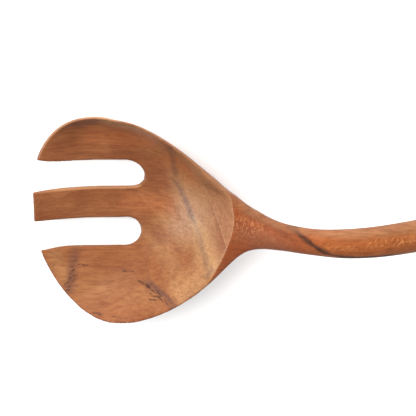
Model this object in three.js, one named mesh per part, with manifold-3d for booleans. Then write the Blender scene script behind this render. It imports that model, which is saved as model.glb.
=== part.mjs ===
// A one-piece carved wooden serving fork: a wide dished head cut into three tines, a flared neck
// and a slender arched handle. Millimetres, +X from the tine tips to the handle's end, +Z up, with
// the fork lying on its underside. The origin is under the middle of its length, on the table.

import * as THREE from "three";
import { mergeVertices } from "three/addons/utils/BufferGeometryUtils.js";
import Module from "manifold-3d";

const wasm = await Module();
wasm.setup();

// Driving dimensions. Profiles are [distance from the tine tips, size] pairs joined by smooth curves.

const LENGTH = 300;
const HEAD_HALF_WIDTH = 41; // at the widest place of the head
const WIDEST_AT = 27; // distance of that place from the tine tips
const TIP_SPAN = 28.1; // length of the elliptical front of the head's outline

const HALF_WIDTH = [
  [27, 41], [36, 39.5], [46, 34.7], [56, 27.1], [64, 19.2], [70, 12.8], [75, 8.6], [80, 6.6],
  [86, 5.2], [95, 4.75], [110, 5.35], [125, 5.8], [150, 6], [200, 7], [250, 8.6], [284, 9],
];
const SIDE_HEIGHT = [
  [0, 5.9], [5, 8.1], [12, 12], [20, 16.6], [28, 19.8], [40, 21.7], [52, 23.3], [60, 23.8],
  [66, 22.7], [72, 22], [78, 24], [85, 27.9], [95, 31.7], [106, 33.4], [118, 32.4], [130, 29.2],
  [150, 21.5], [175, 13.4], [205, 7.2], [232, 5.2], [262, 6.6], [300, 11.5],
];
const SIDE_THICKNESS = [[0, 2], [50, 2], [60, 2.8], [68, 4.6], [76, 6]];
const HANDLE_HALF_HEIGHT = [
  [70, 4.6], [80, 4.3], [95, 3.95], [110, 4.3], [130, 4.65], [232, 5.2], [284, 5],
];
const HANDLE_SIDE_FLAT = 0.4; // half the height of the flat left along the handle's sides
const NECK_CROWN = [[58, 25.6], [66, 25.2], [72, 25.6], [79, 28.4], [86, 32.2], [94, 35.2]];
const KEEL = [
  [0, 6.4], [5, 4.6], [10, 3], [20, 1], [30, 0.25], [42, -0.3], [50, 0.9], [60, 6.6],
  [70, 13.8], [80, 20.2], [90, 25.9],
];
const DISH_FLOOR = [
  [-8, 10.6], [0, 9.1], [10, 6.9], [20, 5.5], [30, 5.2], [40, 5], [48, 6.6], [55, 10.4],
  [62, 16], [70, 25], [80, 38],
];

const CROWN_START = 58; // the neck's crown rises behind this place
const NECK_START = 68; // the head's shell turns into the handle's oval between these two
const NECK_END = 84;
const RIM_SPARE = 2; // height left on the blank for the dish to cut its rim from
const DISH_FULLNESS = 3.5; // how flat the dish stays before its sides rise
const SHELL_FULLNESS = [[40, 3.4], [66, 2.4]]; // the same for the underside, rounder at the neck
const SHELL_RADIUS = 45; // the underside's rise to the neck is an arc of this radius in plan
const SHELL_ROUND = [10, 40]; // where that arc grows from nothing to the whole radius
const SHELL_DROP = 3; // the most that the shell's sides lie below its keel
const CREASE_OFFSET = 5.5; // the dish's rear edge is an arc a little to one side of the middle
const CREASE_RADIUS = 40;
const DISH_END = 76; // where the cutter of the dish stops, clear of the wood
const DISH_STEP = 2.6;
const DISH_OVERLAP = 1.5; // how far that cutter runs out past the rim
const DISH_STEPS = 22; // points across that cutter
const CLEAR_HEIGHT = 60; // above every part of the fork

const SLOT_INNER = 6.3; // half the middle tine's width
const SLOT_OUTER = 17.2;
const SLOT_ROOTS = { 1: 39, "-1": 37.5 }; // hand-cut: one slot runs a little deeper
const SLOT_MOUTH = -6; // the cutter of a slot starts in front of the tips
const SLOT_INNER_FLARE = [[SLOT_MOUTH, 0.9], [3, 0.15], [12, 0]]; // rounding of the tines' tips
const SLOT_OUTER_FLARE = [[8, 0.3], [2, 1.3], [SLOT_MOUTH, 4]];
const END_ROUNDING = 16; // length of the handle's rounded end
const END_BLUNTNESS = 0.02; // leaves a small flat at the very end
const END_RINGS = 7;

const RING_HALF = 15; // steps across the top of a section, and again across the bottom
const TIP_PLACES = [0, 0.8, 1.8, 3, 4.5, 6.5]; // sections close together at the thin tips
const HEAD_PLACES = { from: 9, to: 90, step: 2.5 };
const HANDLE_PLACES = { from: 91, to: LENGTH - END_ROUNDING, step: 5.5 };
const WOOD = new THREE.MeshStandardMaterial({ color: 0xb5703f, roughness: 0.5, metalness: 0 });

const { clamp, lerp, smoothstep } = THREE.MathUtils;

// A smooth curve through the pairs of a profile, as a function of the distance along the fork.
function profile(pairs) {
  const secant = (i) => (pairs[i + 1][1] - pairs[i][1]) / (pairs[i + 1][0] - pairs[i][0]);
  const slope = (i) => {
    if (i === 0) return secant(0);
    if (i === pairs.length - 1) return secant(i - 1);
    const before = pairs[i][0] - pairs[i - 1][0];
    const after = pairs[i + 1][0] - pairs[i][0];
    return (secant(i - 1) * after + secant(i) * before) / (before + after);
  };
  return (x) => {
    const place = clamp(x, pairs[0][0], pairs.at(-1)[0]);
    let i = 0;
    while (i < pairs.length - 2 && place > pairs[i + 1][0]) i += 1;
    const step = pairs[i + 1][0] - pairs[i][0];
    const t = (place - pairs[i][0]) / step;
    const rise = t * t * (3 - 2 * t);
    const bend = slope(i) * t * (1 - t) * (1 - t) - slope(i + 1) * t * t * (1 - t);
    return pairs[i][1] * (1 - rise) + pairs[i + 1][1] * rise + bend * step;
  };
}

const outline = profile(HALF_WIDTH);
const sideHeight = profile(SIDE_HEIGHT);
const sideThickness = profile(SIDE_THICKNESS);
const handleHalfHeight = profile(HANDLE_HALF_HEIGHT);
const neckCrown = profile(NECK_CROWN);
const keel = profile(KEEL);
const dishFloor = profile(DISH_FLOOR);
const shellFullness = profile(SHELL_FULLNESS);
const rimTop = (x) => sideHeight(x) + sideThickness(x) / 2;

function roundedEnd(x) {
  const past = Math.max(0, x - (LENGTH - END_ROUNDING)) / END_ROUNDING;
  return Math.sqrt(Math.max(END_BLUNTNESS, 1 - past * past));
}

function halfWidth(x) {
  if (x >= WIDEST_AT) return outline(x) * roundedEnd(x);
  const reach = (WIDEST_AT - x) / TIP_SPAN;
  return HEAD_HALF_WIDTH * Math.sqrt(1 - reach * reach);
}

// Height of the dish's surface. Its rear wall climbs to the crease, an arc across the head.
function dishHeight(x, y) {
  const sag = (y - CREASE_OFFSET) ** 2 / (2 * CREASE_RADIUS);
  const floor = dishFloor(x + sag);
  const across = Math.abs(y) / halfWidth(x);
  return floor + Math.max(0, rimTop(x) - floor) * across ** DISH_FULLNESS;
}

// Height of the underside, at the fraction "across" of the half width.
function shellBottom(x, across) {
  const arc = (across * halfWidth(x)) ** 2 / (2 * SHELL_RADIUS);
  const bottom = keel(x + arc * smoothstep(x, ...SHELL_ROUND));
  const side = sideHeight(x) - sideThickness(x) / 2;
  return bottom + Math.max(side - bottom, -SHELL_DROP) * Math.abs(across) ** shellFullness(x);
}

// Heights of the blank's top and bottom, at the fraction "across" of the half width.
function blankHeights(x, across) {
  const toHandle = smoothstep(x, NECK_START, NECK_END);
  const oval = Math.sqrt(Math.max(0, 1 - across * across)) * handleHalfHeight(x) * roundedEnd(x);
  const shoulder = rimTop(x) + RIM_SPARE * (1 - smoothstep(x, CROWN_START, NECK_START));
  const crown = Math.max(shoulder, x < CROWN_START ? shoulder : neckCrown(x));
  const headTop = shoulder + (crown - shoulder) * (1 - across * across);
  const middle = sideHeight(x);
  return {
    top: lerp(headTop, middle + HANDLE_SIDE_FLAT + oval, toHandle),
    bottom: lerp(shellBottom(x, across), middle - HANDLE_SIDE_FLAT - oval, toHandle),
  };
}

// A closed solid through rings of points, each ring an array of [x, y, z].
function loft(rings) {
  const count = rings[0].length;
  const points = rings.flat();
  const index = [];
  for (let i = 0; i < rings.length - 1; i += 1) {
    for (let j = 0; j < count; j += 1) {
      const a = i * count + j;
      const b = i * count + ((j + 1) % count);
      index.push(a, b, a + count, b, b + count, a + count);
    }
  }
  for (const [ring, turned] of [[0, false], [rings.length - 1, true]]) {
    const centre = points.length;
    const sum = rings[ring].reduce((s, p) => [s[0] + p[0], s[1] + p[1], s[2] + p[2]], [0, 0, 0]);
    points.push(sum.map((v) => v / count));
    for (let j = 0; j < count; j += 1) {
      const a = ring * count + j;
      const b = ring * count + ((j + 1) % count);
      index.push(centre, ...(turned ? [a, b] : [b, a]));
    }
  }
  const geometry = new THREE.BufferGeometry();
  geometry.setAttribute("position", new THREE.Float32BufferAttribute(points.flat(), 3));
  geometry.setIndex(index);
  return geometry;
}

function toSolid(geometry) {
  const bare = geometry.clone();
  bare.deleteAttribute("normal");
  bare.deleteAttribute("uv");
  const merged = mergeVertices(bare, 1e-4);
  return new wasm.Manifold(new wasm.Mesh({
    numProp: 3,
    vertProperties: new Float32Array(merged.attributes.position.array),
    triVerts: new Uint32Array(merged.index.array),
  }));
}

function toGeometry(solid) {
  const mesh = solid.getMesh();
  const geometry = new THREE.BufferGeometry();
  geometry.setAttribute("position", new THREE.Float32BufferAttribute(mesh.vertProperties, 3));
  geometry.setIndex([...mesh.triVerts]);
  geometry.computeVertexNormals();
  return geometry;
}

// Places of the sections along the fork: close together in the head and neck, wider on the handle.
function sectionPlaces() {
  const places = [...TIP_PLACES];
  for (const { from, to, step } of [HEAD_PLACES, HANDLE_PLACES]) {
    for (let x = from; x < to; x += step) places.push(x);
  }
  for (let i = 0; i <= END_RINGS; i += 1) {
    places.push(LENGTH - END_ROUNDING * (1 - Math.sin((Math.PI / 2) * (i / END_RINGS))));
  }
  return places;
}

function blank() {
  const rings = sectionPlaces().map((x) => {
    const ring = [];
    for (let i = 0; i <= RING_HALF; i += 1) {
      const across = -Math.cos((Math.PI * i) / RING_HALF);
      ring.push([x, across * halfWidth(x), blankHeights(x, across).bottom]);
    }
    for (let i = 0; i <= RING_HALF; i += 1) {
      const across = Math.cos((Math.PI * i) / RING_HALF);
      ring.push([x, across * halfWidth(x), blankHeights(x, across).top]);
    }
    return ring;
  });
  return loft(rings);
}

// The waste above the dish: its underside is the dish's surface, carried on past the rim.
function dishWaste() {
  const rings = [];
  for (let x = -2; x <= DISH_END; x += DISH_STEP) {
    const near = Math.max(0, x);
    const reach = halfWidth(near) + DISH_OVERLAP;
    const ring = [];
    for (let i = 0; i <= DISH_STEPS; i += 1) {
      const y = -Math.cos((Math.PI * i) / DISH_STEPS) * reach;
      ring.push([x, y, dishHeight(near, y)]);
    }
    ring.push([x, reach, CLEAR_HEIGHT], [x, -reach, CLEAR_HEIGHT]);
    rings.push(ring);
  }
  return loft(rings);
}

// The slot on the +Y side (1) or the -Y side (-1): straight, round at its root, flared at the tips.
function slotWaste(side) {
  const middle = (SLOT_INNER + SLOT_OUTER) / 2;
  const radius = (SLOT_OUTER - SLOT_INNER) / 2;
  const quarter = (side * Math.PI) / 2;
  const inner = SLOT_INNER_FLARE.map(([x, flare]) => new THREE.Vector2(x, side * (SLOT_INNER - flare)));
  const shape = new THREE.Shape(inner);
  shape.absarc(SLOT_ROOTS[side] - radius, side * middle, radius, -quarter, quarter, side < 0);
  for (const [x, flare] of SLOT_OUTER_FLARE) shape.lineTo(x, side * (SLOT_OUTER + flare));
  shape.closePath();
  const options = { depth: CLEAR_HEIGHT, bevelEnabled: false, curveSegments: 12 };
  const prism = new THREE.ExtrudeGeometry(shape, options);
  prism.translate(0, 0, -CLEAR_HEIGHT / 4);
  return toSolid(prism);
}

// The underside is planed flat where the fork rests on the table.
function belowTable() {
  const depth = 20;
  const box = new THREE.BoxGeometry(2 * LENGTH, 4 * HEAD_HALF_WIDTH, depth);
  box.translate(LENGTH / 2, 0, -depth / 2);
  return toSolid(box);
}

function servingFork() {
  let solid = toSolid(blank()).subtract(toSolid(dishWaste()));
  solid = solid.subtract(slotWaste(1)).subtract(slotWaste(-1)).subtract(belowTable());
  const geometry = toGeometry(solid);
  geometry.translate(-LENGTH / 2, 0, 0);
  const mesh = new THREE.Mesh(geometry, WOOD);
  mesh.name = "serving_fork";
  return mesh;
}

const fork = new THREE.Group();
fork.add(servingFork());

export default fork;
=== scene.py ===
# A one-piece carved wooden serving fork on a pale table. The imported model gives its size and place;
# here it is carved again as a fine mesh with sanded edges and finished in oiled wood.
# Sizes are in design millimetres of a 300 mm fork, measured from the tine tips and the table.

import math

import bpy
import numpy as np
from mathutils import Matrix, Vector


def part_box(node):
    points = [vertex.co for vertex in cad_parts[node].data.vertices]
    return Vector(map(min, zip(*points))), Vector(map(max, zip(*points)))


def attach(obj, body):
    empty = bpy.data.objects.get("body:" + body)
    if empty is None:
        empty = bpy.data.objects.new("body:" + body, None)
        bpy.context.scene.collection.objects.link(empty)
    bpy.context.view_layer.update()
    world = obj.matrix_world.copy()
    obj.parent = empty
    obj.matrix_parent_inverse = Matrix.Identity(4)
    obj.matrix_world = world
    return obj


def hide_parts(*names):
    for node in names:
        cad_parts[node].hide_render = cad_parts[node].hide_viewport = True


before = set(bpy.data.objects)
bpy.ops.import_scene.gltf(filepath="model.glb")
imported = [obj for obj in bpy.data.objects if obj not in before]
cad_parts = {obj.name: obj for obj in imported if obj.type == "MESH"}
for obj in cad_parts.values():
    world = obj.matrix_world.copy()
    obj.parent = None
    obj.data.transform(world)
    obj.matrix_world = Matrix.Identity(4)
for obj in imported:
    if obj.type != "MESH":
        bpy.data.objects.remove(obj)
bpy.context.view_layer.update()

DESIGN_LENGTH = 300.0
low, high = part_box("serving_fork")
MM = (high.x - low.x) / DESIGN_LENGTH  # one design millimetre, in metres
TIPS_X = low.x
TABLE_Z = low.z


def place(x, y, z):
    """A point given in design millimetres, in metres in the fork's frame."""
    return Vector((TIPS_X + x * MM, y * MM, TABLE_Z + z * MM))


# ---------------------------------------------------------------- the fork's profiles

HEAD_HALF_WIDTH = 41.0
WIDEST_AT = 27.0
TIP_SPAN = 28.1  # from the widest place to where the tips' round outline would close

# Each table holds (distance from the tips, size) pairs, joined by a smooth curve.

HALF_WIDTH = (
    (27, 41), (36, 39.5), (46, 34.7), (56, 27.1), (64, 19.2), (70, 12.8), (75, 8.6), (80, 6.6),
    (86, 5.2), (95, 4.75), (110, 5.35), (125, 5.8), (150, 6), (200, 7), (250, 8.6), (284, 9),
)
SIDE_HEIGHT = (
    (0, 5.9), (5, 8.1), (12, 12), (20, 16.6), (28, 19.8), (40, 21.7), (52, 23.3), (60, 23.8),
    (66, 22.7), (72, 22), (78, 24), (85, 27.9), (95, 31.7), (106, 33.4), (118, 32.4), (130, 29.2),
    (150, 21.5), (175, 13.4), (205, 7.2), (232, 5.2), (262, 6.6), (300, 11.5),
)
SIDE_THICKNESS = (
    (0, 2), (50, 2), (60, 2.8), (68, 4.6), (76, 6),
)
HANDLE_HALF_HEIGHT = (
    (70, 4.6), (80, 4.3), (95, 3.95), (110, 4.3), (130, 4.65), (232, 5.2), (284, 5),
)
NECK_CROWN = (
    (58, 25.6), (66, 25.2), (72, 25.6), (79, 28.4), (86, 32.2), (94, 35.2),
)
KEEL = (
    (0, 6.4), (5, 4.6), (10, 3), (20, 1), (30, 0.25), (42, -0.3), (50, 0.9), (60, 6.6), (70, 13.8),
    (80, 20.2), (90, 25.9),
)
DISH_FLOOR = (
    (-8, 10.6), (0, 9.1), (10, 6.9), (20, 5.5), (30, 5.2), (40, 5), (48, 6.6), (55, 10.4), (62, 16),
    (70, 25), (80, 38),
)

CROWN_START = 58.0  # the neck's crown rises behind this place
RIM_SPARE = 2.0  # height left on the blank for the dish to cut its rim from
NECK_START = 68.0
NECK_END = 84.0
DISH_FULLNESS = 3.5
SHELL_FULLNESS = ((40, 3.4), (66, 2.4))
SHELL_RADIUS = 45.0
CREASE_OFFSET = 5.5
CREASE_RADIUS = 40.0
CREASE_TURN = (13.0, 0.55)  # past this y it turns back along the rim at this slope
CREASE_TURN_FROM = (52.0, 62.0)  # the turn comes in over these distances
BEVEL_LINE = 65.7  # a low ridge crosses the dish's rear wall where x, skew and bow add up to this
BEVEL_SKEW = 0.36
BEVEL_BOW = 0.003  # the ridge bows forward by this times the square of the distance from BEVEL_FOOT
BEVEL_FOOT = -5.0
BEVEL_HEIGHT = 0.5
BEVEL_FALL = (9.0, 6.0)  # how far the ridge takes to die away before it and behind it

SLOT_INNER = 6.3
SLOT_OUTER = 17.2
SLOT_ROOTS = (39.0, 37.5)  # on the +Y side and on the -Y side
SLOT_SKEW = (0.2, 0.1)  # how far each slot's round root leans towards the middle tine
FLARE_START = 12.0
FLARE_BEND = 0.014
FLARE_OUTER = 0.62  # share of the flare taken from the outer tine
FLARE_INNER = (0.2, 0.05)  # and from the middle tine, on the +Y side and on the -Y side
END_ROUNDING = 16.0

ARRIS = 0.9  # rounding of the upper edges
SANDED_AWAY = 0.4  # left on the head's outline, because rounding the rim takes it off again
RIM_ROUND = 1.1  # rounding of the rim's lower edge
TINE_ROUND = 2.2  # rounding of the tines' lower edges
EDGE_MIDDLE = 1.3  # thickness of the middle tine's sides, which are bevelled from below
EDGE_OUTER = 0.7  # the same for the other two tines
WALL_ROUND = 0.6  # rounding of the upright corners at the tips
BEVEL_ROUND = 0.5  # rounding where the bevel meets the side
FOOT_ROUND = 0.25  # rounding round the flats that it rests on
CREASE_ROUND = 0.35
NECK_SOFTENING = 1.2  # how much rounder the edges grow along the neck
CARVING_STEP = 0.53  # spacing of the mesh's points
BLANK = ((-1.5, -43, -1.2), (301.5, 43, 40))  # corners of the block that it is carved from
SETTLING = (1, 1, 1, 2)  # steps back onto the surface after each evening of the points
MARK_REACH = 4.0  # distances kept on the mesh for the finish go no further than this


def profile(pairs):
    """A smooth curve through (distance, size) pairs, as a function of arrays of distances."""
    x, y = np.array(pairs, float).T
    gap, secant = np.diff(x), np.diff(y) / np.diff(x)
    inner = (secant[:-1] * gap[1:] + secant[1:] * gap[:-1]) / (gap[:-1] + gap[1:])
    slope = np.concatenate((secant[:1], inner, secant[-1:]))

    def value(at):
        at = np.clip(at, x[0], x[-1])
        i = np.clip(np.searchsorted(x, at, side="right") - 1, 0, len(x) - 2)
        t = (at - x[i]) / gap[i]
        rise = t * t * (3 - 2 * t)
        bend = slope[i] * t * (1 - t) ** 2 - slope[i + 1] * t * t * (1 - t)
        return y[i] * (1 - rise) + y[i + 1] * rise + bend * gap[i]

    return value


outline = profile(HALF_WIDTH)
side_height = profile(SIDE_HEIGHT)
side_thickness = profile(SIDE_THICKNESS)
handle_half_height = profile(HANDLE_HALF_HEIGHT)
neck_crown = profile(NECK_CROWN)
keel = profile(KEEL)
dish_floor = profile(DISH_FLOOR)
shell_fullness = profile(SHELL_FULLNESS)


def smoothstep(x, start, end):
    t = np.clip((x - start) / (end - start), 0, 1)
    return t * t * (3 - 2 * t)


def rim_top(x):
    return side_height(x) + side_thickness(x) / 2


def rounded_end(x):
    """How much of its size is left at the handle's round end."""
    past = np.clip((x - (DESIGN_LENGTH - END_ROUNDING)) / END_ROUNDING, 0, None)
    return np.sqrt(np.clip(1 - past * past, 0.0025, 1))


def half_width(x):
    """Half the fork's width: a round outline over the tips, and a curve behind."""
    reach = np.clip((WIDEST_AT - x) / TIP_SPAN, 0, 0.995)
    at_tips = HEAD_HALF_WIDTH * np.sqrt(1 - reach * reach)
    return np.where(x < WIDEST_AT, at_tips, outline(x) * rounded_end(x))


def dish_height(x, y):
    """The dish's surface. Its rear wall climbs to the crease, an arc across the head."""
    sag = (y - CREASE_OFFSET) ** 2 / (2 * CREASE_RADIUS)
    sag = sag + CREASE_TURN[1] * np.maximum(0, y - CREASE_TURN[0]) * smoothstep(x, *CREASE_TURN_FROM)
    floor = dish_floor(x + sag)
    across = np.abs(y) / half_width(x)
    past = x + BEVEL_SKEW * y + BEVEL_BOW * (y - BEVEL_FOOT) ** 2 - BEVEL_LINE
    past = past / math.hypot(1, BEVEL_SKEW)
    ridge = BEVEL_HEIGHT * np.clip(1 - np.maximum(-past / BEVEL_FALL[0], past / BEVEL_FALL[1]), 0, 1)
    return floor + ridge + np.maximum(0, rim_top(x) - floor) * across ** DISH_FULLNESS


def blank_top(x, y):
    """The rim's plane over the head, and the crowned face of the neck behind it."""
    shoulder = rim_top(x) + RIM_SPARE * (1 - smoothstep(x, 53, 61))
    crown = np.maximum(shoulder, np.where(x < CROWN_START, 0, neck_crown(x)))
    across = np.clip(np.abs(y) / half_width(x), 0, 1.2)
    return shoulder + (crown - shoulder) * (1 - across ** 2)


def shell_bottom(x, y):
    """The underside, round like a bowl towards the neck."""
    across = np.clip(np.abs(y) / half_width(x), 0, 1.2)
    side = side_height(x) - side_thickness(x) / 2
    bottom = keel(x + y ** 2 / (2 * SHELL_RADIUS) * smoothstep(x, 10, 40))
    return bottom + np.maximum(side - bottom, -3) * across ** shell_fullness(x)


# ---------------------------------------------------------------- carving the solid

def steepness(height, x, y, step=0.05):
    """How much longer a sloping surface is than its plan, from its heights."""
    along = (height(x + step, y) - height(x - step, y)) / (2 * step)
    across = (height(x, y + step) - height(x, y - step)) / (2 * step)
    return np.sqrt(1 + along ** 2 + across ** 2)


def rounded_max(a, b, radius):
    """Where two surfaces meet, the edge between them is rounded to the radius."""
    corner = np.hypot(np.maximum(a + radius, 0), np.maximum(b + radius, 0)) - radius
    return np.where((a > -radius) & (b > -radius), corner, np.maximum(a, b))


def slot_wall(x, y, side):
    """Distance out of a slot in plan: a straight gap with a round root, flared at the tips."""
    middle = (SLOT_INNER + SLOT_OUTER) / 2
    radius = (SLOT_OUTER - SLOT_INNER) / 2
    index = 0 if side > 0 else 1
    root = SLOT_ROOTS[index] - radius
    across = side * y - middle
    flare = FLARE_BEND * np.clip(FLARE_START - x, 0, FLARE_START) ** 2
    reach = radius + flare * np.where(across > 0, FLARE_OUTER, FLARE_INNER[index])
    straight = np.abs(across) - reach
    past_root = x + SLOT_SKEW[index] * across - root
    round_root = np.hypot(past_root, across) - radius
    return -np.where(past_root > 0, round_root, straight)


def head_walls(x, y):
    """Distance out of the outline's wall, and out of the walls of the slots and tips."""
    width_slope = (half_width(x + 0.05) - half_width(x - 0.05)) / 0.1
    side = (np.abs(y) - half_width(x) - SANDED_AWAY) / np.sqrt(1 + width_slope ** 2)
    slots = np.maximum(slot_wall(x, y, 1), slot_wall(x, y, -1))
    return side, rounded_max(slots, -x, WALL_ROUND)


def head_tops(x, y, z):
    """The dish's surface, and the blank's top with the neck's face."""
    dish = (z - dish_height(x, y)) / steepness(dish_height, x, y)
    blank = (z - blank_top(x, y)) / steepness(blank_top, x, y)
    return dish, blank


def head_field(x, y, z):
    """The head and neck: below zero inside the wood."""
    side, cuts = head_walls(x, y)
    walls = rounded_max(side, cuts, WALL_ROUND)
    top = rounded_max(*head_tops(x, y, z), CREASE_ROUND)
    bottom = (shell_bottom(x, y) - z) / steepness(shell_bottom, x, y)
    at_cuts = smoothstep(cuts - side, -2.5, 1.5)
    upper_round = ARRIS + NECK_SOFTENING * smoothstep(x, 62, NECK_END)
    lower_round = RIM_ROUND + (TINE_ROUND - RIM_ROUND) * at_cuts
    lower_round = lower_round + NECK_SOFTENING * smoothstep(x, 60, NECK_START)
    shape = rounded_max(rounded_max(top, walls, upper_round), bottom, lower_round)
    edge = np.where(np.abs(y) < (SLOT_INNER + SLOT_OUTER) / 2, EDGE_MIDDLE, EDGE_OUTER)
    bevel = (cuts - top - edge) / math.sqrt(2)
    return rounded_max(shape, bevel, BEVEL_ROUND)


def handle_field(x, y, z):
    """The handle, oval across and round at its end: below zero inside the wood."""
    end = rounded_end(x)
    rise = (z - side_height(x)) / (handle_half_height(x) * end)
    across = y / half_width(x)
    size = np.sqrt(across ** 2 + rise ** 2) + 1e-6
    across_slope = across / half_width(x)
    rise_slope = rise / (handle_half_height(x) * end)
    spread = np.sqrt(across_slope ** 2 + rise_slope ** 2) + 1e-6
    return size * (size - 1) / spread


def fork_field(x, y, z):
    """Below zero inside the wood, in millimetres near its surface."""
    to_handle = smoothstep(x, NECK_START, NECK_END)
    shape = head_field(x, y, z) * (1 - to_handle) + handle_field(x, y, z) * to_handle
    shape = np.maximum(shape, x - DESIGN_LENGTH)
    return rounded_max(shape, -z, FOOT_ROUND)


def thicken(values, rounds=6):
    """Fills the thinnest edges to a whole step of the grid, so that the mesh closes there."""
    for _ in range(rounds):
        for axis in range(3):
            first, second = (axis + 1) % 3, (axis + 2) % 3
            corners = []
            for move in ((0, 0), (1, 0), (1, 1), (0, 1)):
                cut = [slice(None)] * 3
                cut[first] = slice(move[0], move[0] - 1 or None)
                cut[second] = slice(move[1], move[1] - 1 or None)
                corners.append(tuple(cut))
            inside = [values[c] < 0 for c in corners]
            crossed = (inside[0] == inside[2]) & (inside[1] == inside[3]) & (inside[0] != inside[1])
            for c, solid in zip(corners, inside):
                values[c][crossed & ~solid] = -1e-3
    return values


def carve(field, corner, far_corner, step):
    """A closed mesh of quads over the field's zero surface, and its points."""
    axes = [np.arange(a, b + step, step) for a, b in zip(corner, far_corner)]
    values = thicken(field(axes[0][:, None, None], axes[1][None, :, None], axes[2][None, None, :]))
    shape = np.array(values.shape)
    inside = values < 0
    totals = np.zeros((*(shape - 1), 3))
    counts = np.zeros(shape - 1)
    edges = []
    for axis in range(3):
        near = [slice(None)] * 3
        far = [slice(None)] * 3
        near[axis], far[axis] = slice(0, -1), slice(1, None)
        crossing = np.argwhere(inside[tuple(near)] != inside[tuple(far)])
        other = crossing.copy()
        other[:, axis] += 1
        v0, v1 = values[tuple(crossing.T)], values[tuple(other.T)]
        point = crossing.astype(float)
        point[:, axis] += v0 / (v0 - v1)
        first, second = (axis + 1) % 3, (axis + 2) % 3
        cells = []
        for move in ((-1, -1), (0, -1), (0, 0), (-1, 0)):
            cell = crossing.copy()
            cell[:, first] += move[0]
            cell[:, second] += move[1]
            np.add.at(totals, tuple(cell.T), point)
            np.add.at(counts, tuple(cell.T), 1)
            cells.append(cell)
        edges.append((cells, v0 < 0))
    used = counts > 0
    number = np.full(counts.shape, -1)
    number[used] = np.arange(used.sum())
    points = totals[used] / counts[used][:, None] * step + np.array([a[0] for a in axes])
    quads = []
    for cells, solid_first in edges:
        quad = np.stack([number[tuple(cell.T)] for cell in cells], 1)
        quads.append(np.where(solid_first[:, None], quad, quad[:, ::-1]))
    return points, np.concatenate(quads)


def settle(field, points, steps, reach=0.01):
    """Moves points straight onto the field's zero surface."""
    for _ in range(steps):
        x, y, z = points.T
        value = field(x, y, z)
        ahead = (field(x + reach, y, z), field(x, y + reach, z), field(x, y, z + reach))
        slope = (np.stack(ahead, 1) - value[:, None]) / reach
        move = slope * (value / np.maximum((slope ** 2).sum(1), 0.05))[:, None]
        points = points - np.clip(move, -0.3, 0.3)
    return points


def even_out(points, quads, amount=0.5):
    """Draws each point towards the middle of its neighbours, so the mesh is even."""
    totals = np.zeros_like(points)
    counts = np.zeros(len(points))
    for i in range(4):
        a, b = quads[:, i], quads[:, (i + 1) % 4]
        np.add.at(totals, a, points[b])
        np.add.at(totals, b, points[a])
        np.add.at(counts, a, 1)
        np.add.at(counts, b, 1)
    return points + amount * (totals / counts[:, None] - points)


def surface_marks(points):
    """Distances that the finish follows, for each point of the mesh, in design millimetres.

    "crease" is over zero on the dish and under zero on the neck's face; "arris" is the distance to
    the edge between the upper faces and the walls; "upper" is 1 on the upper faces; "flank" is 1 along
    the +Y side of the neck and handle, which is painted paler as a sheen from the lights."""
    x, y, z = points.T
    dish, blank = head_tops(x, y, z)
    side, cuts = head_walls(x, y)
    top, walls = np.maximum(dish, blank), np.maximum(side, cuts)
    on_head = 1 - smoothstep(x, NECK_START, NECK_END)
    return {
        "crease": np.clip(dish - blank, -MARK_REACH, MARK_REACH),
        "arris": MARK_REACH + (np.minimum(np.abs(top - walls), MARK_REACH) - MARK_REACH) * on_head,
        "upper": smoothstep(top, -1.2, -0.5) * np.where(x < NECK_END, 1, 0),
        "flank": smoothstep(y / half_width(x), 0.66, 0.93) * smoothstep(x, 60, 68),
    }


def carved_fork():
    points, quads = carve(fork_field, *BLANK, CARVING_STEP)
    for steps in SETTLING:
        points = settle(fork_field, even_out(points, quads), steps)
    mesh = bpy.data.meshes.new("carved_fork")
    world = points * MM + np.array([TIPS_X, 0, TABLE_Z])
    mesh.from_pydata(world.tolist(), [], quads.tolist())
    mesh.polygons.foreach_set("use_smooth", [True] * len(mesh.polygons))
    for name, values in surface_marks(points).items():
        mesh.attributes.new(name, "FLOAT", "POINT").data.foreach_set("value", values.astype(np.float32))
    mesh.update()
    piece = bpy.data.objects.new("carved_fork", mesh)
    bpy.context.scene.collection.objects.link(piece)
    return piece


# ---------------------------------------------------------------- the wood

# Marks in the wood, in design millimetres and degrees:
# (centre x, centre y, half length, half width, turn, bend, strength)
DARK_STREAKS = (
    (82, 5.0, 13, 2.2, -19, 0, 0.35), (92, 3.4, 6, 1.5, -22, 0, 0.4),
    (97.6, 0.7, 10, 1.5, -28, 0, 0.85), (98.2, 0.2, 6, 1.2, -35, 0, 0.9),
    (114.5, -3.9, 16, 1.3, -4.8, 0.0042, 0.85),
)
SMUDGES = (
    (49.2, 21, 12.5, 1.8, -84, 0, 0.5), (51.2, 7.5, 5, 1.4, -60, 0, 0.55),
    (53.9, 2.2, 10.5, 2.0, -67, 0, 0.58), (59.5, -12, 7.5, 2.1, -71, 0, 0.45),
    (48.3, 29.5, 3.5, 1.6, -95, 0, 0.5), (61.6, -17.5, 3.2, 1.5, 60, 0, 0.5),
    (19.5, 36.5, 8, 3.8, 22, 0, 0.5), (12.5, 33.5, 4, 2.0, 30, 0, 0.35),
    (13, -25.5, 10, 3, -100, 0, 0.5), (12.2, -30.5, 4.2, 3.2, -100, 0, 0.55),
    (45, -29, 7.5, 1.9, -22, -0.02, 0.7), (42, -28.2, 4, 1.6, 0, 0, 0.4),
    (57, -5.5, 4, 1.5, -60, 0, 0.3), (50.5, -33.5, 4, 2.0, -40, 0, 0.5),
)
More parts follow.
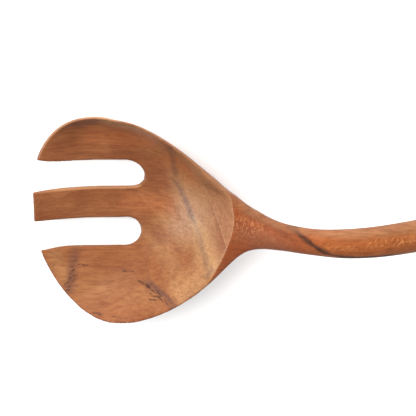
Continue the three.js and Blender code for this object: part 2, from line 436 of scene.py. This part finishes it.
RED_PATCHES = (
    (43.2, -12.5, 4.5, 2.4, -55, 0, 0.6), (40.5, -9.5, 7, 4, -50, 0, 0.35),
    (34.6, 5.2, 3, 0.8, 0, 0, 0.6), (26.6, 29.4, 1.6, 1.3, 0, 0, 0.5), (42, 11, 10, 9, 0, 0, 0.25),
    (28, -25.5, 9, 1.2, -4, 0, 0.3), (22, -4.2, 16, 1.4, 0, 0, 0.4), (24, 20.3, 20, 1.6, 0, 0, 0.3),
    (46, 6.5, 8, 2.6, 0, 0, 0.2), (80, -1, 14, 7, 0, 0, 0.35), (4, -24, 9, 2, -65, 0, 0.2),
)
INK_DASHES = (
    (38.6, -28.3, 3.0, 0.6, -6, 0, 0.95), (41.2, -29.2, 2.6, 0.5, -14, 0, 0.95),
    (43, -30.6, 2.2, 0.45, 10, 0, 0.9), (41.8, -31.8, 2.0, 0.4, 15, 0, 0.85),
    (44.8, -30.9, 1.6, 0.5, -25, 0, 0.8), (44.0, -29.4, 1.8, 0.5, -30, 0, 0.8),
    (40.6, -30.4, 1.4, 0.35, 10, 0, 0.75), (46.6, -31.2, 1.5, 0.5, -40, 0, 0.6),
    (17.6, -24.4, 1.6, 0.42, -4, 0, 0.85), (15.6, -24.1, 1.0, 0.35, 10, 0, 0.6),
    (16.6, -25.0, 1.2, 0.3, 20, 0, 0.6), (22, -38.9, 2.4, 0.45, -3, 0, 0.9),
    (28.5, -38.9, 1.9, 0.4, 0, 0, 0.8), (31.8, -26, 1.5, 0.45, -4, 0, 0.75),
    (34.3, -25.7, 1.3, 0.4, 5, 0, 0.65), (13.2, -26.2, 0.9, 0.5, 30, 0, 0.7),
    (12.6, -27.4, 1.0, 0.45, -10, 0, 0.8), (14.2, -27.9, 1.3, 0.4, 20, 0, 0.7),
    (12.2, -28.8, 0.8, 0.5, 10, 0, 0.75), (13.4, -29.6, 1.0, 0.4, 40, 0, 0.6),
    (11.3, -30, 0.9, 0.5, 30, 0, 0.75), (12.1, -31.4, 1.0, 0.5, 0, 0, 0.7),
    (10.2, -30.8, 0.9, 0.4, 50, 0, 0.65), (14.6, -31.2, 0.9, 0.35, 10, 0, 0.5),
    (11.2, -32.4, 0.8, 0.4, 0, 0, 0.7), (12.9, -24.9, 0.7, 0.45, 0, 0, 0.6),
    (34, 5.1, 2.0, 0.4, -6, 0, 0.55), (13.9, -22.6, 0.8, 0.4, 0, 0, 0.5),
    (6.3, -24.2, 1.1, 0.4, 50, 0, 0.5), (37, 4.6, 1.2, 0.35, -20, 0, 0.5),
)
# Pale bands: partly the wood's paler tone, partly painted light on the upper tine and the +Y dish wall,
# which face away from the lights
PALE_AND_PAINTED_LIGHT_BANDS = (
    (25.2, 30, 12, 2.4, -84, 0, 0.22), (56.5, 3, 9, 27, 14, 0, 0.6), (50, -8, 10, 8, -40, 0, 0.5),
    (30, -31, 24, 8, 6, 0, 0.2), (60, 10, 14, 3.2, -66, 0, 0.4), (41.5, -1.8, 9, 0.6, -52, 0, 0.4),
    (60, -10, 14, 9, -66, 0, 0.95), (46, 26, 12, 9, 0, 0, 0.3), (8, -24, 9, 5, -70, 0, 0.3),
    (34, 37, 15, 4.5, -14, 0, 0.55), (55, -24, 11, 8, 35, 0, 0.6), (46, -17, 14, 8, -50, 0, 0.35),
)
# Warm bands: partly the wood's warmer tone, partly painted light on the upper tine and the +Y dish
# wall, which face away from the lights
WARM_AND_PAINTED_LIGHT_BANDS = (
    (32, 29, 18, 10, 0, 0, 0.75), (40, 0, 13, 7, -10, 0, 0.45), (53, 20, 11, 10, -30, 0, 0.5),
)
# Painted light on edges that face the lights: the middle tine's +Y side wall and the upper-left rim
LIT_EDGES = (
    (23, 6.3, 24, 1.6, 0, 0, 1), (7, 33, 16, 9, 45, 0, 0.9), (20, 40.5, 14, 4, 4, 0, 0.9),
)
# The first band is a painted sheen along the handle's +Y side, which faces the lights; the second is a
# pale band in the wood
HANDLE_SHEEN_AND_PALE_BANDS = (
    (150, 5.4, 66, 3.6, 0, 0, 0.85), (120, -3.6, 40, 1.2, 0, 0, 0.3),
)
FLECK_ZONES = (
    (74.5, 2, 8, 9, 0, 0, 0.8), (41, -1.5, 10, 5, -30, 0, 0.35), (30, 0, 9, 5, 0, 0, 0.2),
    (62, 24, 14, 6, -40, 0, 0.25), (80, 0, 12, 5, 0, 0, 0.4), (52, 10, 14, 12, 0, 0, 0.2),
)
CURL_ZONES = (
    (136, 1.4, 28, 2.4, 0, 0, 0.85), (106, 0.5, 9, 2.2, 0, 0, 0.4),
)


class Nodes:
    """Adds nodes to one tree. A value given to an input may be a number, a tuple or another output."""

    def __init__(self, tree):
        self.tree = tree

    def feed(self, socket, value):
        if isinstance(value, bpy.types.NodeSocket):
            self.tree.links.new(value, socket)
        else:
            socket.default_value = value

    def add(self, kind, inputs=(), **settings):
        node = self.tree.nodes.new(kind)
        for name, value in settings.items():
            setattr(node, name, value)
        for name, value in dict(inputs).items():
            self.feed(node.inputs[name], value)
        return node

    def math(self, operation, *values, clamp=False):
        node = self.add("ShaderNodeMath", enumerate(values), operation=operation, use_clamp=clamp)
        return node.outputs[0]

    def plus(self, first, second):
        return self.math("ADD", first, second)

    def minus(self, first, second):
        return self.math("SUBTRACT", first, second)

    def times(self, first, second):
        return self.math("MULTIPLY", first, second)

    def vector(self, operation, *values):
        return self.add("ShaderNodeVectorMath", enumerate(values), operation=operation).outputs[0]

    def along_grain(self, place, share):
        """The place drawn out along the fork, so that a pattern on it comes out longer."""
        return self.vector("MULTIPLY", place, (share, 1, 1))

    def noise(self, place, scale, detail=2.0, roughness=0.5, output="Fac"):
        inputs = {"Vector": place, "Scale": scale, "Detail": detail, "Roughness": roughness}
        return self.add("ShaderNodeTexNoise", inputs).outputs[output]

    def fade(self, value, start, end):
        """0 before the start and 1 past the end, with a smooth step between."""
        inputs = {"Value": value, "From Min": start, "From Max": end}
        return self.add("ShaderNodeMapRange", inputs, interpolation_type="SMOOTHSTEP").outputs[0]

    def mix(self, amount, first, second, blend="MIX"):
        node = self.add("ShaderNodeMix", data_type="RGBA", blend_type=blend)
        for index, value in ((0, amount), (6, first), (7, second)):
            self.feed(node.inputs[index], value)
        return node.outputs[2]

    def tint(self, colour, mask, strength, shade, blend="MIX"):
        """Brings a shade into the colour where the mask and the strength let it."""
        return self.mix(self.times(mask, strength), colour, shade, blend)

    def group(self, tree, **inputs):
        node = self.tree.nodes.new("ShaderNodeGroup")
        node.node_tree = tree
        for name, value in inputs.items():
            self.feed(node.inputs[name.replace("_", " ").capitalize()], value)
        return node.outputs


def new_group(name, inputs, outputs):
    """A shader node group: its tree, its inputs' node and its outputs' node."""
    tree = bpy.data.node_groups.new(name, "ShaderNodeTree")
    for label, (kind, value) in inputs.items():
        socket = tree.interface.new_socket(label, in_out="INPUT", socket_type=kind)
        if value is not None:
            socket.default_value = value
    for label in outputs:
        tree.interface.new_socket(label, in_out="OUTPUT", socket_type="NodeSocketFloat")
    nodes = Nodes(tree)
    return nodes, nodes.add("NodeGroupInput").outputs, nodes.add("NodeGroupOutput").inputs


NUMBER = "NodeSocketFloat"
VECTOR = "NodeSocketVector"


def mark_group():
    """One long soft mark that runs through the wood: a mask, strongest along its middle line."""
    nodes, given, result = new_group("wood_mark", {
        "Place": (VECTOR, None),
        "Centre x": (NUMBER, 0.0),
        "Centre y": (NUMBER, 0.0),
        "Half length": (NUMBER, 5.0),
        "Half width": (NUMBER, 1.0),
        "Turn": (NUMBER, 0.0),
        "Bend": (NUMBER, 0.0),
        "Strength": (NUMBER, 1.0),
    }, ["Mask"])
    axes = nodes.add("ShaderNodeSeparateXYZ", {"Vector": given["Place"]}).outputs
    off_x = nodes.minus(axes["X"], given["Centre x"])
    off_y = nodes.minus(axes["Y"], given["Centre y"])
    cosine, sine = nodes.math("COSINE", given["Turn"]), nodes.math("SINE", given["Turn"])
    along = nodes.plus(nodes.times(off_x, cosine), nodes.times(off_y, sine))
    across = nodes.minus(nodes.times(off_y, cosine), nodes.times(off_x, sine))
    bow = nodes.times(nodes.times(along, along), given["Bend"])
    off_line = nodes.math("ABSOLUTE", nodes.minus(across, bow))
    to_end = nodes.math("DIVIDE", nodes.math("ABSOLUTE", along), given["Half length"])
    to_side = nodes.math("DIVIDE", off_line, given["Half width"])
    mask = nodes.times(nodes.fade(to_end, 1, 0.45), nodes.fade(to_side, 1, 0))
    nodes.feed(result["Mask"], nodes.times(mask, given["Strength"]))
    return nodes.tree


def grain_group():
    """Grain along the fork's length: fine fibres, open pores and growth rings round a far pith."""
    nodes, given, result = new_group("wood_grain", {
        "Place": (VECTOR, None),
        "Ring spacing": (NUMBER, 2.6),
        "Pith": (VECTOR, (0, 0, 0)),
    }, ["Fibres", "Pores", "Rings"])
    fine = nodes.noise(nodes.along_grain(given["Place"], 0.13), 1.15, detail=4, roughness=0.7)
    nodes.feed(result["Fibres"], fine)
    pore_place = nodes.along_grain(given["Place"], 0.22)
    pore_inputs = {"Vector": pore_place, "Scale": 1.7, "Randomness": 1.0}
    pores = nodes.add("ShaderNodeTexVoronoi", pore_inputs).outputs
    nodes.feed(result["Pores"], nodes.fade(pores["Distance"], 0.26, 0.1))
    waver = nodes.noise(nodes.along_grain(given["Place"], 0.35), 0.055, detail=2)
    from_pith = nodes.vector("SUBTRACT", given["Place"], given["Pith"])
    spoke = nodes.along_grain(from_pith, 0.1)
    reach = nodes.add("ShaderNodeVectorMath", {0: spoke}, operation="LENGTH").outputs["Value"]
    spaced = nodes.math("DIVIDE", reach, given["Ring spacing"])
    late = nodes.math("FRACT", nodes.plus(spaced, nodes.times(waver, 5)))
    rings = nodes.times(nodes.fade(late, 0.1, 0.86), nodes.fade(late, 1, 0.9))
    nodes.feed(result["Rings"], rings)
    return nodes.tree


def fleck_group():
    """Short bright flecks where the rays of the wood are cut lengthways."""
    nodes, given, result = new_group("ray_flecks", {
        "Place": (VECTOR, None),
        "Length": (NUMBER, 1.0),
        "Width": (NUMBER, 0.4),
        "Turn": (NUMBER, 0.0),
        "Share": (NUMBER, 0.4),
    }, ["Mask"])
    turn_inputs = {"Vector": given["Place"], "Angle": nodes.times(given["Turn"], -1)}
    turned = nodes.add("ShaderNodeVectorRotate", turn_inputs, rotation_type="Z_AXIS").outputs[0]
    shape = nodes.add("ShaderNodeCombineXYZ", {
        "X": nodes.math("DIVIDE", 0.5, given["Length"]),
        "Y": nodes.math("DIVIDE", 0.5, given["Width"]),
        "Z": 0.5,
    }).outputs[0]
    spots = nodes.noise(nodes.vector("MULTIPLY", turned, shape), 1.0, detail=1.5, roughness=0.6)
    start = nodes.minus(0.68, nodes.times(given["Share"], 0.3))
    nodes.feed(result["Mask"], nodes.fade(spots, start, nodes.plus(start, 0.12)))
    return nodes.tree


# Shades of the wood, from the broad colour to the wear, with painted light among them
RED_WOOD = (0.185, 0.058, 0.019, 1)
BROWN_WOOD = (0.232, 0.086, 0.031, 1)
# partly painted light: the colour of the pale bands
PALE_AND_PAINTED_LIGHT_WOOD = (0.34, 0.185, 0.08, 1)
# partly painted light: the colour of the warm bands
WARM_AND_PAINTED_LIGHT_WOOD = (0.34, 0.108, 0.038, 1)
NECK_WOOD = (0.205, 0.045, 0.0085, 1)
HANDLE_WOOD = (0.25, 0.066, 0.0135, 1)
# partly painted sheen: the colour of the handle's bands
HANDLE_SHEEN_AND_PALE = (0.19, 0.085, 0.034, 1)
# painted sheen on the +Y flank of the neck and handle
PAINTED_FLANK_SHEEN = (0.24, 0.098, 0.04, 1)
BEVEL_WOOD = (0.27, 0.118, 0.048, 1)
# painted highlight on the low ridge, partly burnished wood
RIDGE_HIGHLIGHT_AND_WEAR = (0.36, 0.19, 0.09, 1)
RING_SHADE = (0.5, 0.4, 0.33, 1)  # this and the next two darken what is under them
FIBRE_SHADE = (0.55, 0.42, 0.34, 1)
PORE_SHADE = (0.5, 0.38, 0.3, 1)
FLECK_WOOD = (0.3, 0.12, 0.045, 1)
CURL_WOOD = (0.36, 0.135, 0.04, 1)
RED_PATCH = (0.13, 0.038, 0.015, 1)
SMUDGE = (0.05, 0.024, 0.024, 1)
DARK_STREAK = (0.022, 0.009, 0.006, 1)
INK = (0.022, 0.01, 0.01, 1)
# painted highlight on the crease, partly burnished wood
CREASE_HIGHLIGHT_AND_WEAR = (0.34, 0.18, 0.09, 1)
OILED_EDGE = (0.1, 0.034, 0.014, 1)
# painted light on edges that face the lights
PAINTED_EDGE_LIGHT = (0.38, 0.19, 0.085, 1)


class ForkWood(Nodes):
    """The oiled wood, laid on in layers. Each layer takes the colour so far and gives the new one."""

    def __init__(self, tree):
        super().__init__(tree)
        self.mark, self.grain, self.flecks = mark_group(), grain_group(), fleck_group()
        own_place = self.add("ShaderNodeTexCoord").outputs["Object"]
        self.place = self.add("ShaderNodeMapping", {
            "Vector": own_place,
            "Scale": (1 / MM, 1 / MM, 1 / MM),
            "Location": (-TIPS_X / MM, 0, -TABLE_Z / MM),
        }).outputs[0]
        self.axes = self.add("ShaderNodeSeparateXYZ", {"Vector": self.place}).outputs
        self.soft_place = self.wandering(0.22, 0.55, (2.6, 2.6, 0))
        self.ragged_place = self.wandering(1.1, 0.6, (1.1, 0.6, 0))
        gaps = self.noise(self.along_grain(self.place, 0.35), 1.3, 3, 0.6)
        self.broken = self.fade(gaps, 0.25, 0.6)

    def wandering(self, scale, roughness, amount):
        """The place moved about a little, so that what is drawn on it has uneven edges."""
        noise = self.noise(self.place, scale, 3, roughness, "Color")
        waver = self.vector("SUBTRACT", noise, (0.5, 0.5, 0.5))
        return self.vector("ADD", self.place, self.vector("MULTIPLY", waver, amount))

    def all_marks(self, marks, at):
        """One mask for a whole list of marks."""
        total = None
        for x, y, length, width, turn, bend, strength in marks:
            mask = self.group(
                self.mark, place=at, centre_x=x, centre_y=y, half_length=length, half_width=width,
                turn=math.radians(turn), bend=bend, strength=strength,
            )["Mask"]
            total = mask if total is None else self.math("MAXIMUM", total, mask)
        return total

    def attribute(self, name):
        return self.add("ShaderNodeAttribute", attribute_name=name).outputs["Fac"]

    def head_colour(self):
        """Redder at the tines and paler over the dish, partly with painted light where walls face away
        from the lights.
        """
        cloud = self.noise(self.along_grain(self.place, 0.4), 0.11, 3, 0.55)
        colour = self.mix(self.fade(cloud, 0.3, 0.7), RED_WOOD, BROWN_WOOD)
        self.crease = self.attribute("crease")
        self.arris = self.attribute("arris")
        self.upper = self.attribute("upper")
        self.on_dish = self.times(self.fade(self.crease, -0.1, 0.1), self.upper)
        # painted light: the pale bands also lighten walls that face away from the lights
        pale_and_lit = self.all_marks(PALE_AND_PAINTED_LIGHT_BANDS, self.soft_place)
        colour = self.tint(colour, pale_and_lit, self.on_dish, PALE_AND_PAINTED_LIGHT_WOOD)
        # painted light: the warm bands also brighten the upper tine and the +Y wall, which are in shade
        warm_and_lit = self.all_marks(WARM_AND_PAINTED_LIGHT_BANDS, self.soft_place)
        return self.tint(colour, warm_and_lit, self.on_dish, WARM_AND_PAINTED_LIGHT_WOOD)

    def handle_colour(self, colour):
        """The neck is the reddest part, and a painted sheen makes the handle's +Y side paler."""
        past_crease = self.fade(self.axes["X"], 58, 70)
        self.behind_dish = self.times(past_crease, self.fade(self.crease, 0.1, -0.1))
        neck_or_handle = self.mix(self.fade(self.axes["X"], 88, 105), NECK_WOOD, HANDLE_WOOD)
        colour = self.tint(colour, self.behind_dish, 0.85, neck_or_handle)
        # painted sheen: the +Y side of the neck and handle is made paler where it faces the lights
        pale_and_lit = self.all_marks(HANDLE_SHEEN_AND_PALE_BANDS, self.soft_place)
        colour = self.tint(colour, self.behind_dish, pale_and_lit, HANDLE_SHEEN_AND_PALE)
        return self.tint(colour, self.attribute("flank"), 0.75, PAINTED_FLANK_SHEEN)

    def bevel_colour(self, colour):
        """The dish is darker and greyer behind its low ridge, and the ridge itself is paler, a painted
        highlight with some burnish.
        """
        past_ridge = self.plus(self.axes["X"], self.times(self.axes["Y"], BEVEL_SKEW))
        from_foot = self.minus(self.axes["Y"], BEVEL_FOOT)
        bow = self.times(self.times(from_foot, from_foot), BEVEL_BOW)
        past_ridge = self.plus(past_ridge, bow)
        past_ridge = self.minus(past_ridge, BEVEL_LINE)
        self.bevel = self.times(self.fade(past_ridge, -0.1, 0.25), self.on_dish)
        colour = self.tint(colour, self.bevel, 0.8, BEVEL_WOOD)
        # painted highlight, partly burnished wood, along the low ridge
        off_ridge = self.math("ABSOLUTE", self.plus(past_ridge, 0.25))
        ridge_line = self.times(self.fade(off_ridge, 0.4, 0), self.on_dish)
        return self.tint(colour, ridge_line, 0.65, RIDGE_HIGHLIGHT_AND_WEAR)

    def grain_colour(self, colour):
        """Growth rings, fibres and pores."""
        wood = self.group(self.grain, place=self.soft_place, ring_spacing=2.8, pith=(40, -55, -70))
        colour = self.tint(colour, wood["Rings"], 0.15, RING_SHADE, "MULTIPLY")
        self.lines = self.group(self.grain, place=self.place, ring_spacing=1.0, pith=(0, 0, 0))
        self.fibre = self.fade(self.lines["Fibres"], 0.35, 0.68)
        colour = self.tint(colour, self.fibre, 0.58, FIBRE_SHADE, "MULTIPLY")
        return self.tint(colour, self.lines["Pores"], 0.5, PORE_SHADE, "MULTIPLY")

    def fleck_colour(self, colour):
        """Cross flecks on the neck and the root of the middle tine, and curls on the handle."""
        cross = self.group(
            self.flecks, place=self.place, length=0.5, width=0.24, turn=math.radians(75), share=0.6,
        )["Mask"]
        curls = self.group(
            self.flecks, place=self.ragged_place, length=0.8, width=0.28, turn=math.radians(60),
            share=0.65,
        )["Mask"]
        cross_zones = self.all_marks(FLECK_ZONES, self.soft_place)
        colour = self.tint(colour, cross, cross_zones, FLECK_WOOD)
        curl_zones = self.all_marks(CURL_ZONES, self.soft_place)
        return self.tint(colour, curls, curl_zones, CURL_WOOD)

    def mark_colour(self, colour):
        """Red patches, smudges, long dark streaks and short ink-like dashes."""
        colour = self.mix(self.all_marks(RED_PATCHES, self.soft_place), colour, RED_PATCH)
        mottle = self.noise(self.along_grain(self.place, 0.5), 1.6, 3, 0.6)
        mottle = self.fade(mottle, -0.1, 0.65)
        colour = self.tint(colour, self.all_marks(SMUDGES, self.soft_place), mottle, SMUDGE)
        streaks = self.all_marks(DARK_STREAKS, self.soft_place)
        colour = self.tint(colour, streaks, self.fade(self.broken, -1.2, 0.6), DARK_STREAK)
        dashes = self.all_marks(INK_DASHES, self.ragged_place)
        return self.tint(colour, dashes, self.broken, INK)

    def edge_colour(self, colour):
        """A pale line along the crease, partly painted highlight and partly burnished wood; darker
        oiled edges; and painted light on edges that face the lights.
        """
        # painted highlight, partly burnished wood: a pale line along the convex crease
        crease_line = self.fade(self.math("ABSOLUTE", self.crease), 0.32, 0)
        crease_line = self.times(crease_line, self.upper)
        crease_line = self.times(crease_line, self.fade(self.axes["X"], 57, 60))
        colour = self.tint(colour, crease_line, 0.38, CREASE_HIGHLIGHT_AND_WEAR)
        edge = self.times(self.fade(self.arris, 1.1, 0.2), self.fade(self.broken, -0.5, 1))
        colour = self.tint(colour, edge, 0.25, OILED_EDGE)
        # painted light along the edges that face the lights
        near_edge = self.fade(self.arris, 1.0, 0.3)
        lit_edge = self.times(near_edge, self.all_marks(LIT_EDGES, self.place))
        return self.tint(colour, lit_edge, 0.6, PAINTED_EDGE_LIGHT)

    def roughness(self):
        """Satin oil, duller on the fibres, the bevel, the neck and the handle."""
        dull = self.plus(self.times(self.fibre, 0.1), self.times(self.bevel, 0.12))
        dull = self.plus(dull, self.times(self.behind_dish, 0.2))
        return self.plus(dull, 0.38)

    def relief(self):
        """Fibres and pores stand a little below the surface."""
        fibres, pores = self.times(self.lines["Fibres"], -0.6), self.times(self.lines["Pores"], -0.5)
        height = self.plus(fibres, pores)
        bump_inputs = {"Height": height, "Strength": 0.35, "Distance": 0.12 * MM}
        return self.add("ShaderNodeBump", bump_inputs).outputs[0]


def oiled_wood():
    material = bpy.data.materials.new("oiled_wood")
    material.use_nodes = True
    wood = ForkWood(material.node_tree)
    shader = material.node_tree.nodes["Principled BSDF"]
    colour = wood.head_colour()
    colour = wood.handle_colour(colour)
    colour = wood.bevel_colour(colour)
    colour = wood.grain_colour(colour)
    colour = wood.fleck_colour(colour)
    colour = wood.mark_colour(colour)
    colour = wood.edge_colour(colour)
    wood.feed(shader.inputs["Base Color"], colour)
    wood.feed(shader.inputs["Roughness"], wood.roughness())
    wood.feed(shader.inputs["Normal"], wood.relief())
    shader.inputs["Specular IOR Level"].default_value = 0.25
    return material


# ---------------------------------------------------------------- the stage

VIEW_TILT = math.radians(30)  # the camera leans from straight overhead towards the +Y side
VIEW_DISTANCE = 800 * MM
VIEW_CENTRE = place(61.4, 0, 9)
LENS = 197.3
SENSOR_WIDTH = 36
TABLE_REACH = 3.0  # in metres, so that its edge stays out of sight
PAPER_WHITE = (0.89, 0.885, 0.88, 1)
LIT_PLACE = place(70, 0, 10)  # the lights face this place at the back of the head


def table():
    mesh = bpy.data.meshes.new("table_top")
    sides = ((-1, -1), (1, -1), (1, 1), (-1, 1))
    corners = [(x * TABLE_REACH, y * TABLE_REACH, TABLE_Z) for x, y in sides]
    mesh.from_pydata(corners, [], [(0, 1, 2, 3)])
    mesh.update()
    top = bpy.data.objects.new("table_top", mesh)
    bpy.context.scene.collection.objects.link(top)
    material = bpy.data.materials.new("white_paper")
    material.use_nodes = True
    shader = material.node_tree.nodes["Principled BSDF"]
    shader.inputs["Base Color"].default_value = PAPER_WHITE
    shader.inputs["Roughness"].default_value = 0.9
    mesh.materials.append(material)


def softbox(name, towards, distance, size, power, in_gloss=True, in_diffuse=True):
    """A round area light, its direction given from the place that it lights."""
    light = bpy.data.lights.new(name, "AREA")
    light.shape = "DISK"
    light.size = size
    light.energy = power
    lamp = bpy.data.objects.new(name, light)
    bpy.context.scene.collection.objects.link(lamp)
    direction = Vector(towards).normalized()
    lamp.location = LIT_PLACE + direction * distance
    lamp.rotation_euler = direction.to_track_quat("Z", "Y").to_euler()
    lamp.visible_glossy = in_gloss
    lamp.visible_diffuse = in_diffuse


def studio():
    world = bpy.data.worlds.new("white_room")
    world.use_nodes = True
    bpy.context.scene.world = world
    background = world.node_tree.nodes["Background"].inputs
    background["Color"].default_value = (1, 1, 1, 1)
    background["Strength"].default_value = 1.0
    world.cycles_visibility.glossy = False
    key, back, glow = (-0.5, 0.85, 0.9), (-0.1, 1.0, 0.22), (-0.88, -0.28, 0.37)
    softbox("key_softbox", key, distance=1.2, size=1.0, power=25, in_gloss=False)
    softbox("back_softbox", back, distance=1.2, size=0.7, power=7)
    softbox("glow_softbox", glow, distance=1.0, size=0.35, power=6, in_diffuse=False)
    bpy.context.scene.view_settings.view_transform = "Standard"


def camera():
    data = bpy.data.cameras.new("camera")
    data.lens = LENS
    data.sensor_width = SENSOR_WIDTH
    data.clip_start = 0.01
    eye = bpy.data.objects.new("camera", data)
    bpy.context.scene.collection.objects.link(eye)
    eye.location = VIEW_CENTRE + VIEW_DISTANCE * Vector((0, math.sin(VIEW_TILT), math.cos(VIEW_TILT)))
    eye.rotation_euler = (-VIEW_TILT, 0, 0)
    bpy.context.scene.camera = eye


camera()
table()
studio()

fork = carved_fork()
fork.data.materials.append(oiled_wood())
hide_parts("serving_fork")
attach(fork, "root")
